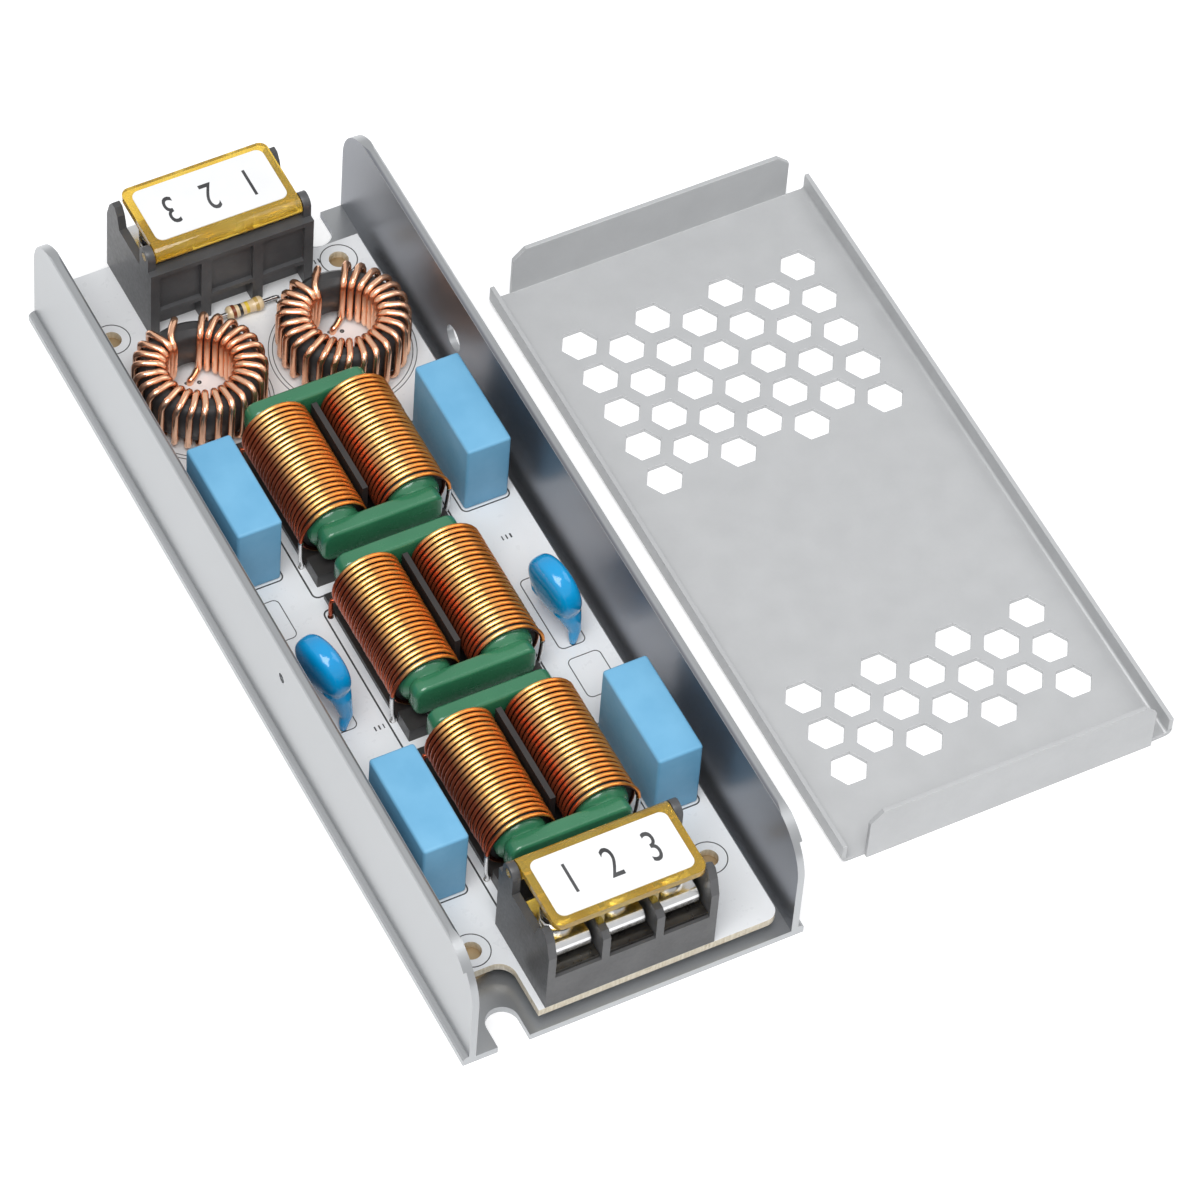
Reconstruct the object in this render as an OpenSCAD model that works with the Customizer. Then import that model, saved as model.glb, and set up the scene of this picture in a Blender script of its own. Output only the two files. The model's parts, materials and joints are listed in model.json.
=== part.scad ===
// EMI line filter: open aluminium tray, white board, three common mode chokes,
// two ring chokes, two three-pole screw terminals, loose perforated cover.
// Units are millimetres. Origin: centre of the tray underside, +Y towards the
// input terminal, +Z up. The cover lies upside down on the table at +X.

/* [Tray] */
// length of the tray along Y
tray_length = 164.9; // [150:0.1:180]
// width over the two foot beads
foot_width = 60.4; // [58:0.1:70]
// width over the plain wall faces
wall_width = 58.3; // [56:0.1:59]
// wall thickness
wall = 1.2; // [0.8:0.1:2]
// floor thickness
floor_t = 1.4; // [0.8:0.1:2.5]
// height of the walls
tray_height = 25.1; // [18:0.1:40]
// height of the foot beads
foot_height = 2; // [1:0.1:4]
// height of the top rails
rail_height = 3.2; // [2:0.1:6]
// how far the top rails stand proud
rail_proud = 0.5; // [0.3:0.05:0.6]
// radius of the upper wall corners
wall_corner = 10; // [2:0.5:14]
// mounting slot width
slot_width = 5.6; // [4:0.1:7]
// mounting slot depth
slot_depth = 6.8; // [5:0.1:10]
// mounting slot centre from the wall face
slot_inset = 7.85; // [6:0.05:12]
// diameter of the hole in the right wall
wall_hole_d = 4.8; // [3:0.1:6]
// diameter of the small hole in the left wall
pin_hole_d = 1.8; // [1:0.1:3]

/* [Cover] */
// cover centre along X
cover_x = 72.4; // [70:0.1:90]
// cover centre along Y
cover_y = -9.9; // [-20:0.1:20]
// cover outer width
cover_width = 61; // [58:0.1:70]
// cover outer length
cover_length = 128.4; // [110:0.1:150]
// cover sheet thickness
sheet = 0.8; // [0.5:0.1:1.5]
// height of the long side lips
lip_height = 4.3; // [3:0.1:8]
// height of the end flanges
flange_height = 11.3; // [6:0.1:14]
// width of the end flanges
flange_width = 52.6; // [40:0.1:56]
// hexagon hole size across the flats
hex_size = 5.8; // [4:0.1:6.6]
// hexagon spacing along Y
hex_pitch = 7.85; // [7:0.05:9]
// hexagon spacing along X
hex_column = 6.95; // [6:0.05:8]

/* [Board] */
// how much shorter the board is than the tray
board_short = 0.1; // [0:0.1:6]
// how far the board sits towards the input end
board_shift = 1.3; // [0:0.1:2]
// gap between the board and each wall
board_gap = 1.6; // [0.5:0.1:3]
// board thickness
board_t = 1.6; // [1:0.1:2.4]
// height of the board pillars above the tray floor
pillar_height = 2.1; // [1.5:0.1:5]
// fixing hole centre from the long board edge
hole_side = 5.3; // [4:0.1:8]
// fixing hole centre from the board end
hole_end = 14.6; // [13:0.1:16]
// fixing hole diameter in the board
hole_d = 3.4; // [2.5:0.1:4]
// depth of the two board notches over the mounting slots
notch_depth = 10.8; // [8:0.1:11]

/* [Terminals] */
// terminal pole pitch
pole_pitch = 9.5; // [8.5:0.1:10]
// terminal body depth
term_depth = 17.6; // [16:0.1:19]
// terminal partition thickness
partition = 1.4; // [1:0.1:2]
// output terminal middle along X
output_x = -0.4; // [-1:0.1:1]
// input terminal middle along X
input_x = 0.1; // [-1:0.1:1]
// how far the input terminal reaches past the board end
input_over = 0.8; // [0:0.1:1.5]
// height of the contact floor above the board
contact_floor = 7.6; // [5:0.1:9]
// terminal ear height above the board
ear_height = 19.5; // [18:0.1:22]
// lid depth
lid_depth = 15.1; // [13:0.1:16]
// width of the clamp plates
clamp_width = 5; // [4:0.1:6]

/* [Chokes] */
// middle of the chokes along X
choke_x = 0.3; // [-1:0.1:1]
// gap between the cores of two chokes
core_gap = 3.5; // [3:0.1:6]
// core end bar thickness
core_bar = 3; // [2.5:0.1:4]
// core end bar height
core_height = 6.2; // [5:0.1:8]
// height of the winding axis above the board
axis_h = 7.5; // [7:0.1:9]
// winding outer diameter
coil_d = 12.6; // [11.5:0.1:12.8]
// diameter of the core legs
leg_d = 8; // [7:0.1:9]

/* [Ring chokes] */
// ring choke outer diameter over the wire
ring_d = 22.8; // [20:0.1:23.2]
// ring choke height over the wire
ring_h = 11; // [9:0.1:13]
// ring choke hole diameter inside the wire
ring_hole = 10.4; // [8:0.1:11]
// wire thickness of the ring chokes
ring_wire = 1.2; // [0.8:0.1:1.3]
// number of turns on one ring choke
ring_turns = 24; // [12:1:25]

/* [Capacitors and resistor] */
// film capacitor length along Y
film_length = 20; // [14:0.1:24]
// film capacitor width along X
film_width = 8; // [6:0.1:10]
// film capacitor height above the board
film_height = 15.2; // [10:0.1:18]
// film and disc capacitor centres from the long board edge
film_side = 5.65; // [5:0.05:7]
// disc capacitor diameter
disc_d = 11.5; // [8:0.1:13]
// disc capacitor thickness
disc_t = 4.8; // [3:0.1:6]
// resistor body diameter
res_d = 2.6; // [1.8:0.1:3.5]
// resistor body length
res_length = 6.6; // [5:0.1:9]

/* [Hidden] */

alu = [0.80, 0.81, 0.82];
black = [0.09, 0.09, 0.10];
white = [0.93, 0.93, 0.93];
tin = [0.78, 0.79, 0.80];
copper = [0.72, 0.36, 0.20];
green = [0.17, 0.42, 0.30];
dark_core = [0.20, 0.20, 0.22];
pale_blue = [0.62, 0.76, 0.86];
disc_blue = [0.08, 0.52, 0.80];
amber = [0.80, 0.50, 0.10];
beige = [0.82, 0.72, 0.52];
tan_metal = [0.72, 0.60, 0.42];

eps = 0.02;
cut = 1;
board_z = floor_t + pillar_height;
top_z = board_z + board_t;
lead_d = 0.8;
lead_hole = 1.1;
full_turn = 360;

// holes in the walls
slot_x = wall_width / 2 - slot_inset;
wall_hole_y = tray_length / 2 - 42.5;
wall_hole_z = 13.2;
pin_hole_y = -13.6;
pin_hole_z = 16.7;

// board outline and fixing holes, measured from the board middle
board_length = tray_length - board_short;
board_width = wall_width - 2 * wall - 2 * board_gap;
board_end = board_length / 2;
hole_x = board_width / 2 - hole_side;
hole_y = board_end - hole_end;
notch_x = board_width / 2 - 9.9;
notch_r = 3;
film_x = board_width / 2 - film_side;

// places along the board, from one terminal to the other
ring_zone = ring_d + 4.5;
choke_pitch = (board_length - 2 * term_depth - ring_zone) / 3;
choke_lead = 2.7;
choke_far = board_end - term_depth - ring_zone - choke_pitch / 2 + choke_lead;
choke_y = [choke_far, choke_far - choke_pitch, choke_far - 2 * choke_pitch];
film_back = 2.2;
film_y = [choke_y[0] - film_back, choke_y[2] - film_back];
disc_y = choke_y[1] - 4.7;
ring_x = board_width / 4;
ring_y = board_end - term_depth - ring_d / 2 - 3.5;

// choke sections
core_length = choke_pitch - core_gap;
coil_length = core_length - 2 * core_bar - 0.6;
leg_x = coil_d / 2 + 0.95;
core_width = 2 * leg_x + leg_d - 0.5;
leg_z = top_z + axis_h;
base_t = axis_h - coil_d / 2 - 0.1;
base_gap = 2.4;
base_front = choke_pitch - core_length / 2 - base_gap;
coil_lead_x = leg_x + coil_d / 2 - 0.5;
coil_lead_y = coil_length / 2 - 0.5;

// terminal sections, measured from the wire side face
poles = [-pole_pitch, 0, pole_pitch];
term_width = 3 * pole_pitch + partition;
bay = pole_pitch - partition;
plate_t = 0.8;
wire_gap = 2.4;
clamp_t = 1.2;
clamp_front = 3.2;
screw_y = 7.8;
screw_head = 5.8;
screw_d = 3.5;
rear_wall = 2.3;
rear_top = 15.6;
pin_y = 12.2;
pin_side = 0.7;
lid_front = 1.3;
lid_width = term_width - 2 * partition - 0.4;
lid_t = 1.3;
bar_d = 3.4;
pivot_d = 1.5;
bar_y = lid_front + lid_depth - bar_d / 2;
bar_z = ear_height - bar_d / 2;

// ring choke sections
ring_in = ring_hole / 2 + ring_wire;
ring_out = ring_d / 2 - ring_wire;
ring_gap = 57;
ring_step = (full_turn - ring_gap) / (ring_turns - 1);
ring_lead_a = 21;

film_pitch = 0.75 * film_length;
disc_pitch = 10;
disc_z = top_z + 12;
res_x = 1.6;
res_y = board_end - term_depth - 1;
res_pitch = 12.6;

// rectangle with four equal round corners, centred
module round_rect(l, w, r) {
    square([l - 2 * r, w], center = true);
    square([l, w - 2 * r], center = true);
    for (sx = [-1, 1]) {
        for (sy = [-1, 1]) {
            translate([sx * (l / 2 - r), sy * (w / 2 - r)]) circle(r = r, $fn = 16);
        }
    }
}

// vertical lead through the board, from height z_top down to the board underside
module lead(x, y, z_top) {
    translate([x, y, board_z]) cylinder(d = lead_d, h = z_top - board_z, $fn = 8);
}

// all the places where a lead passes the board
module lead_places() {
    for (s = [-1, 1]) {
        for (p = poles) {
            translate([term_x(s) - s * p, s * (term_front(s) - pin_y), 0]) children();
        }
        for (e = [-1, 1]) {
            for (y = film_y) {
                translate([s * film_x, y + e * film_pitch / 2, 0]) children();
            }
            translate([s * film_x, disc_y + e * disc_pitch / 2, 0]) children();
            for (y = choke_y) {
                translate([choke_x + s * coil_lead_x, y + e * coil_lead_y, 0]) children();
            }
        }
        translate([res_x + s * res_pitch / 2, res_y, 0]) children();
        ring_lead_place(s, ring_lead_a, ring_d / 2 - ring_wire / 2) children();
        ring_lead_place(s, 0, ring_hole / 2 - ring_wire) children();
    }
}

module ring_lead_place(s, a, r) {
    translate([s * ring_x, ring_y, 0]) rotate([0, 0, 90 + a]) translate([r, 0, 0]) children();
}

function term_x(s) = s > 0 ? input_x : output_x;
function term_front(s) = s > 0 ? board_end + input_over : board_end;

// tray

module tray_section() {
    w = wall_width / 2;
    // floor and feet
    translate([-foot_width / 2, 0]) square([foot_width, floor_t]);
    for (s = [-1, 1]) {
        translate([s * (foot_width / 2 - foot_height / 2), foot_height / 2])
            circle(d = foot_height, $fn = 24);
        translate([s * (w - wall / 2) - wall / 2, 0]) square([wall, tray_height - 0.4]);
        translate([s > 0 ? w - wall : -w - rail_proud, tray_height - rail_height])
            square([wall + rail_proud, rail_height - 0.5]);
        translate([s * (w + (rail_proud - wall) / 2), tray_height - 0.9])
            round_top(wall + rail_proud);
    }
}

module round_top(width) {
    r = 0.7;
    translate([-width / 2 + r, 0]) square([width - 2 * r, 0.9]);
    translate([-width / 2, 0]) square([width, 0.9 - r]);
    for (s = [-1, 1]) {
        translate([s * (width / 2 - r), 0.9 - r]) circle(r = r, $fn = 16);
    }
}

module wall_side() {
    h = tray_length / 2;
    translate([-h, -cut]) square([2 * h, tray_height - wall_corner + cut]);
    translate([-h + wall_corner, 0]) square([2 * h - 2 * wall_corner, tray_height + cut]);
    for (s = [-1, 1]) {
        translate([s * (h - wall_corner), tray_height - wall_corner])
            circle(r = wall_corner, $fn = 64);
    }
}

module slot_cut(s) {
    straight = slot_depth - slot_width / 2;
    translate([s * slot_x, s * tray_length / 2, -cut]) {
        translate([0, -s * straight, 0])
            cylinder(d = slot_width, h = floor_t + 2 * cut, $fn = 32);
        translate([-slot_width / 2, s > 0 ? -straight : -cut, 0])
            cube([slot_width, straight + cut, floor_t + 2 * cut]);
    }
}

module tray() {
    color(alu) difference() {
        intersection() {
            translate([0, tray_length / 2, 0]) rotate([90, 0, 0])
                linear_extrude(height = tray_length) tray_section();
            translate([-foot_width, 0, 0]) rotate([90, 0, 90])
                linear_extrude(height = 2 * foot_width) wall_side();
        }
        slot_cut(-1);
        slot_cut(1);
        translate([wall_width / 2 - wall - cut, wall_hole_y, wall_hole_z]) rotate([0, 90, 0])
            cylinder(d = wall_hole_d, h = wall + 2 * cut, $fn = 32);
        translate([-wall_width / 2 - cut, pin_hole_y, pin_hole_z]) rotate([0, 90, 0])
            cylinder(d = pin_hole_d, h = cut + wall / 2, $fn = 16);
    }
}

// cover

module hexagon(x, y) {
    translate([x, y, -cut])
        cylinder(d = hex_size / cos(30), h = sheet + 2 * cut, $fn = 6);
}

module hex_group(yc, rows) {
    for (c = [-3:3]) {
        odd = (c + 3) % 2;
        n = rows - odd;
        for (k = [0:n - 1]) {
            hexagon(c * hex_column, yc + (k - (n - 1) / 2) * hex_pitch);
        }
    }
}

module lip_section() {
    r = 1.3;
    h = cover_width / 2;
    difference() {
        union() {
            translate([-h + r, 0]) square([2 * h - 2 * r, r]);
            translate([-h, r]) square([2 * h, lip_height - r]);
            for (s = [-1, 1]) {
                translate([s * (h - r), r]) circle(r = r, $fn = 16);
            }
        }
        translate([-h + r, sheet]) square([2 * h - 2 * r, lip_height]);
        translate([-h + sheet, r]) square([2 * h - 2 * sheet, lip_height]);
        for (s = [-1, 1]) {
            translate([s * (h - r), r]) circle(r = r - sheet, $fn = 16);
        }
    }
}

module end_flange() {
    bevel = 1.6;
    difference() {
        translate([-flange_width / 2, 0, 0]) cube([flange_width, sheet, flange_height]);
        for (s = [-1, 1]) {
            translate([s * flange_width / 2, -cut, flange_height]) rotate([0, 45, 0])
                translate([-bevel, 0, -bevel]) cube([2 * bevel, sheet + 2 * cut, 2 * bevel]);
        }
    }
}

module top_cover() {
    lip_short = 0.7;
    e = cover_length / 2 - lip_short;
    far_hexes = cover_length / 2 - 31.3;
    near_hexes = cover_length / 2 - 24.1;
    color(alu) translate([cover_x, cover_y, 0]) {
        difference() {
            translate([0, e, 0]) rotate([90, 0, 0])
                linear_extrude(height = 2 * e) lip_section();
            hex_group(far_hexes, 5);
            hex_group(-near_hexes, 3);
        }
        for (s = [-1, 1]) {
            translate([-flange_width / 2, s > 0 ? e - eps : -cover_length / 2, 0])
                cube([flange_width, lip_short + eps, sheet]);
            translate([0, s > 0 ? cover_length / 2 - sheet : -cover_length / 2, 0])
                end_flange();
        }
    }
}

// board

// everything on the board is placed from the board middle
module on_board() {
    translate([0, board_shift, 0]) children();
}

module board_outline() {
    difference() {
        round_rect(board_width, board_length, 2.2);
        for (a = [0, 180]) {
            rotate([0, 0, a]) board_notch();
        }
    }
}

// corner cut at +X +Y, with a round inner corner
module board_notch() {
    y0 = board_end - notch_depth;
    translate([notch_x + notch_r, y0]) square([board_width, notch_depth + cut]);
    translate([notch_x, y0 + notch_r]) square([board_width, notch_depth + cut]);
    translate([notch_x + notch_r, y0 + notch_r]) circle(r = notch_r, $fn = 24);
}

module fixing_places() {
    for (sx = [-1, 1]) {
        for (sy = [-1, 1]) {
            translate([sx * hole_x, sy * hole_y, 0]) children();
        }
    }
}

module circuit_board() {
    color(white) on_board() translate([0, 0, board_z]) difference() {
        linear_extrude(height = board_t) board_outline();
        fixing_places() translate([0, 0, -cut])
            cylinder(d = hole_d, h = board_t + 2 * cut, $fn = 24);
        translate([0, 0, -cut]) lead_places()
            cylinder(d = lead_hole, h = board_t + 2 * cut, $fn = 8);
    }
}

module board_pillars() {
    color(tan_metal) on_board() translate([0, 0, floor_t]) fixing_places()
        cylinder(d = 6, h = pillar_height, $fn = 24);
}

module solder_joints() {
    joint_h = 0.7;
    color(tin) on_board() translate([0, 0, board_z - joint_h]) lead_places()
        cylinder(d = 2, h = joint_h, $fn = 8);
}

// terminals
// Drawn with the wire side at y = 0 facing -Y, standing on z = 0.

module at_terminal(s) {
    on_board() translate([term_x(s), 0, 0]) rotate([0, 0, s > 0 ? 180 : 0])
        translate([0, -term_front(s), top_z]) children();
}

module side_plate(x, pts) {
    translate([x - partition / 2, 0, 0]) rotate([90, 0, 90])
        linear_extrude(height = partition) polygon(pts);
}

module term_body() {
    front_h = 13.2;
    inner_h = 14;
    back = term_depth - rear_wall;
    ear = [[0, 0], [0, front_h], [1, 16.4], [2, 17.9], [3.2, 17.9], [4.2, 16.6],
        [5, inner_h], [back, inner_h], [back, rear_top], [term_depth, rear_top],
        [term_depth, 0]];
    inner = [[0, 0], [0, 12.9], [1, inner_h], [back, inner_h], [back, rear_top],
        [term_depth, rear_top], [term_depth, 0]];
    panel = pole_pitch - 1.9;
    recess = 0.8;
    cutout = 5;
    color(black) difference() {
        union() {
            for (s = [-1, 1]) {
                side_plate(s * 1.5 * pole_pitch, ear);
                side_plate(s * 0.5 * pole_pitch, inner);
                hinge_ear(s);
            }
            translate([-term_width / 2, 0, 0])
                cube([term_width, term_depth, contact_floor]);
            translate([-term_width / 2, back, 0])
                cube([term_width, rear_wall, rear_top]);
        }
        for (p = poles) {
            // cut-out under the rear edge and panel in the rear face
            translate([p - panel / 2, term_depth - rear_wall, -cut])
                cube([panel, rear_wall + cut, cutout + cut]);
            translate([p - panel / 2, term_depth - recess, cutout + 1])
                cube([panel, recess + cut, rear_top - cutout - 2]);
            // hollow underside in front
            translate([p - bay / 2 + 0.6, partition, -cut])
                cube([bay - 1.2, screw_y - 0.3, cutout + cut]);
            // screw well and contact pin slot
            translate([p, screw_y, 3]) cylinder(d = 4.4, h = contact_floor, $fn = 24);
            translate([p - pin_side, pin_y - pin_side, -cut])
                cube([2 * pin_side, 2 * pin_side, contact_floor + 2 * cut]);
        }
        // pivot holes for the lid
        translate([-term_width, bar_y, bar_z]) rotate([0, 90, 0])
            cylinder(d = pivot_d + 0.2, h = 2 * term_width, $fn = 16);
    }
}

module hinge_ear(s) {
    foot_z = 12;
    translate([s * 1.5 * pole_pitch - partition / 2, bar_y, 0]) {
        translate([0, 0, bar_z]) rotate([0, 90, 0])
            cylinder(d = bar_d, h = partition, $fn = 24);
        translate([0, -bar_d / 2, foot_z]) cube([partition, bar_d, bar_z - foot_z]);
    }
}

module term_contacts() {
    collar_h = 2.2;
    color(tin) for (p = poles) {
        translate([p, 0, contact_floor]) difference() {
            translate([-bay / 2 + 0.1, 0.6, 0]) cube([bay - 0.2, 13.4, plate_t]);
            translate([0, screw_y, -cut]) cylinder(d = screw_d, h = 4, $fn = 24);
        }
        translate([p, screw_y, contact_floor - collar_h]) difference() {
            cylinder(d = 4.3, h = collar_h + eps, $fn = 24);
            translate([0, 0, -cut]) cylinder(d = screw_d, h = collar_h + 2 * cut, $fn = 24);
        }
        translate([p - pin_side / 2, pin_y - pin_side / 2, -board_t])
            cube([pin_side, pin_side, contact_floor + board_t + eps]);
    }
}

module term_clamps() {
    z = contact_floor + plate_t + wire_gap;
    color(tin) for (p = poles) {
        translate([p, 0, z]) difference() {
            translate([-clamp_width / 2, clamp_front, 0])
                cube([clamp_width, 2 * (screw_y - clamp_front), clamp_t]);
            translate([0, screw_y, -cut])
                cylinder(d = screw_d + 0.2, h = clamp_t + 2 * cut, $fn = 24);
        }
    }
}

module term_screws() {
    z = contact_floor + plate_t + wire_gap + clamp_t;
    head_h = 2.3;
    low = contact_floor - 3;
    slot_w = 1;
    color(tin) for (p = poles) {
        translate([p, screw_y, 0]) difference() {
            union() {
                translate([0, 0, z]) cylinder(d = screw_head, h = head_h, $fn = 32);
                translate([0, 0, low]) cylinder(d = screw_d, h = z - low + eps, $fn = 24);
            }
            translate([-screw_head, -slot_w / 2, z + head_h - slot_w])
                cube([2 * screw_head, slot_w, 2 * slot_w]);
            translate([-slot_w / 2, -screw_head / 3, z + head_h - slot_w])
                cube([slot_w, 2 * screw_head / 3, 2 * slot_w]);
        }
    }
}

module term_lid() {
    rib_w = 1;
    rib_z = 14;
    color(amber) {
        translate([0, lid_front + lid_depth / 2, ear_height - lid_t]) difference() {
            linear_extrude(height = lid_t) round_rect(lid_width, lid_depth, 1.6);
            translate([-lid_width, lid_depth / 2 - bar_d / 2, -cut])
                cube([2 * lid_width, bar_d, lid_t + 2 * cut]);
        }
        translate([-lid_width / 2, bar_y, bar_z]) rotate([0, 90, 0])
            cylinder(d = bar_d, h = lid_width, $fn = 24);
        translate([-term_width / 2, bar_y, bar_z]) rotate([0, 90, 0])
            cylinder(d = pivot_d, h = term_width, $fn = 16);
        // ribs that rest on the two inner partitions
        for (s = [-1, 1]) {
            translate([s * pole_pitch / 2 - rib_w / 2, lid_front + rib_w, rib_z])
                cube([rib_w, lid_depth / 2, ear_height - lid_t - rib_z + eps]);
        }
    }
}

module term_label() {
    depth = 11.4;
    color(white) translate([0, lid_front + 1.4 + depth / 2, ear_height])
        linear_extrude(height = 0.15) round_rect(24, depth, 1.4);
}

// chokes

module at_choke(k) {
    on_board() translate([choke_x, choke_y[k], 0]) children();
}

module choke_core(k) {
    color(green) at_choke(k) {
        for (s = [-1, 1]) {
            translate([0, s > 0 ? core_length / 2 : -core_length / 2 + core_bar, leg_z])
                rotate([90, 0, 0]) linear_extrude(height = core_bar)
                    round_rect(core_width, core_height, core_height / 2 - 0.05);
            translate([s * leg_x, core_length / 2 - core_bar / 2, leg_z]) rotate([90, 0, 0])
                cylinder(d = leg_d, h = core_length - core_bar, $fn = 40);
        }
    }
}

module choke_base(k) {
    bw = core_width + 3;
    y1 = core_length / 2;
    rest_w = 2 * leg_x + 3;
    block = 4.2;
    color(black) at_choke(k) difference() {
        union() {
            translate([-bw / 2, -base_front, top_z]) cube([bw, y1 + base_front, base_t]);
            for (s = [-1, 1]) {
                // rests under the core bars
                translate([-rest_w / 2, s > 0 ? y1 - core_bar : -y1, top_z])
                    cube([rest_w, core_bar, axis_h - core_height / 2]);
                // front corner blocks
                translate([s > 0 ? bw / 2 - block : -bw / 2, -base_front, top_z])
                    cube([block, block, 3]);
            }
            // plate between the windings
            translate([-0.5, -coil_length / 2 + 4, top_z])
                cube([1, coil_length - 4.5, 10]);
        }
        for (s = [-1, 1]) {
            // cradles for the core legs
            translate([s * leg_x, core_length / 2, leg_z]) rotate([90, 0, 0])
                cylinder(d = leg_d + 0.1, h = core_length, $fn = 40);
            for (e = [-1, 1]) {
                translate([s * coil_lead_x, e * coil_lead_y, top_z - cut])
                    cylinder(d = 1.4, h = base_t + 2 * cut, $fn = 8);
            }
        }
    }
}

module choke_coil(k, s) {
    color(copper) at_choke(k) {
        translate([s * leg_x, coil_length / 2, leg_z]) rotate([90, 0, 0]) difference() {
            cylinder(d = coil_d, h = coil_length, $fn = 40);
            translate([0, 0, -cut]) cylinder(d = leg_d, h = coil_length + 2 * cut, $fn = 40);
        }
        for (e = [-1, 1]) {
            translate([s * coil_lead_x, e * coil_lead_y, board_z])
                cylinder(d = lead_d, h = leg_z - board_z, $fn = 8);
        }
    }
}

// ring chokes

module at_ring(s) {
    on_board() translate([s * ring_x, ring_y, top_z + ring_h / 2]) children();
}

// section through the ring, grown by c all round; d is extra room at the round faces
module ring_profile(c, d) {
    x0 = ring_in - c - d;
    x1 = ring_out + c + d;
    h = ring_h / 2 - ring_wire + c;
    b = 1.2;
    polygon([[x0, b - h], [x0 + b, -h], [x1 - b, -h], [x1, b - h],
        [x1, h - b], [x1 - b, h], [x0 + b, h], [x0, h - b]]);
}

module ring_core(s) {
    color(dark_core) at_ring(s) rotate_extrude($fn = 40) ring_profile(0, 0);
}

module ring_coil(s) {
    color(copper) {
        at_ring(s) for (k = [0:ring_turns - 1]) {
            rotate([0, 0, 90 + ring_gap / 2 + k * ring_step]) rotate([90, 0, 0])
                translate([0, 0, -ring_wire / 2]) linear_extrude(height = ring_wire)
                    difference() {
                        ring_profile(ring_wire, 0);
                        ring_profile(0, 0.1);
                    }
        }
        on_board() translate([0, 0, board_z]) {
            ring_lead_place(s, ring_lead_a, ring_d / 2 - ring_wire / 2)
                cylinder(d = lead_d, h = ring_h / 2, $fn = 8);
            ring_lead_place(s, 0, ring_hole / 2 - ring_wire)
                cylinder(d = lead_d, h = ring_h + board_t, $fn = 8);
        }
    }
}

// capacitors and resistor

module film_capacitor(s, k) {
    color(pale_blue) on_board() {
        translate([s * film_x, film_y[k], top_z]) linear_extrude(height = film_height)
            round_rect(film_width, film_length, 0.6);
        for (e = [-1, 1]) {
            lead(s * film_x, film_y[k] + e * film_pitch / 2, top_z + cut);
        }
    }
}

module disc_capacitor(s) {
    color(disc_blue) on_board() translate([s * film_x, disc_y, 0]) {
        translate([0, 0, disc_z]) rotate([0, 90, 0]) rotate_extrude($fn = 32) disc_profile();
        for (e = [-1, 1]) {
            translate([0, e * disc_pitch / 2, top_z]) cylinder(d = 2.2, h = 9, $fn = 16);
            translate([0, e * disc_pitch / 2, board_z]) cylinder(d = lead_d, h = 4, $fn = 8);
        }
    }
}

module disc_profile() {
    r = disc_d / 2;
    t = disc_t / 2;
    translate([0, -t]) square([r - t, 2 * t]);
    translate([r - t, 0]) circle(r = t, $fn = 20);
}

module resistor_body() {
    color(beige) on_board() translate([res_x - res_length / 2, res_y, top_z + res_d / 2])
        rotate([0, 90, 0]) cylinder(d = res_d, h = res_length, $fn = 24);
}

module resistor_leads() {
    z = top_z + res_d / 2;
    color(tin) on_board() for (s = [-1, 1]) {
        x0 = res_x + s * res_length / 2;
        x1 = res_x + s * (res_pitch + lead_d) / 2;
        translate([min(x0, x1), res_y, z]) rotate([0, 90, 0])
            cylinder(d = lead_d, h = abs(x1 - x0), $fn = 8);
        lead(res_x + s * res_pitch / 2, res_y, z + eps);
    }
}

// drawing

tray();
top_cover();
circuit_board();
board_pillars();
solder_joints();
at_terminal(-1) term_body();  // output_body
at_terminal(-1) term_contacts();  // output_contacts
at_terminal(-1) term_clamps();  // output_clamps
at_terminal(-1) term_screws();  // output_screws
at_terminal(-1) term_lid();  // output_lid
at_terminal(-1) term_label();  // output_label
at_terminal(1) term_body();  // input_body
at_terminal(1) term_contacts();  // input_contacts
at_terminal(1) term_clamps();  // input_clamps
at_terminal(1) term_screws();  // input_screws
at_terminal(1) term_lid();  // input_lid
at_terminal(1) term_label();  // input_label
choke_core(0);  // choke_1_core
choke_base(0);  // choke_1_base
choke_coil(0, -1);  // choke_1_coil_left
choke_coil(0, 1);  // choke_1_coil_right
choke_core(1);  // choke_2_core
choke_base(1);  // choke_2_base
choke_coil(1, -1);  // choke_2_coil_left
choke_coil(1, 1);  // choke_2_coil_right
choke_core(2);  // choke_3_core
choke_base(2);  // choke_3_base
choke_coil(2, -1);  // choke_3_coil_left
choke_coil(2, 1);  // choke_3_coil_right
ring_core(-1);  // ring_core_left
ring_coil(-1);  // ring_coil_left
ring_core(1);  // ring_core_right
ring_coil(1);  // ring_coil_right
film_capacitor(-1, 0);  // film_capacitor_1
film_capacitor(1, 0);  // film_capacitor_2
film_capacitor(-1, 1);  // film_capacitor_3
film_capacitor(1, 1);  // film_capacitor_4
disc_capacitor(-1);  // disc_capacitor_left
disc_capacitor(1);  // disc_capacitor_right
resistor_body();
resistor_leads();
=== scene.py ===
"""Looks for the EMI line filter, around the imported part.

The frame, its boxes and Blender are in metres. The builders below work in
millimetres, and MM turns their points into metres. Z is up, the filter's long
side runs along Y, and the output terminal is at the low end of Y.
"""

import json
import math
import random

import bmesh
import bpy
from mathutils import Matrix, Vector

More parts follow.
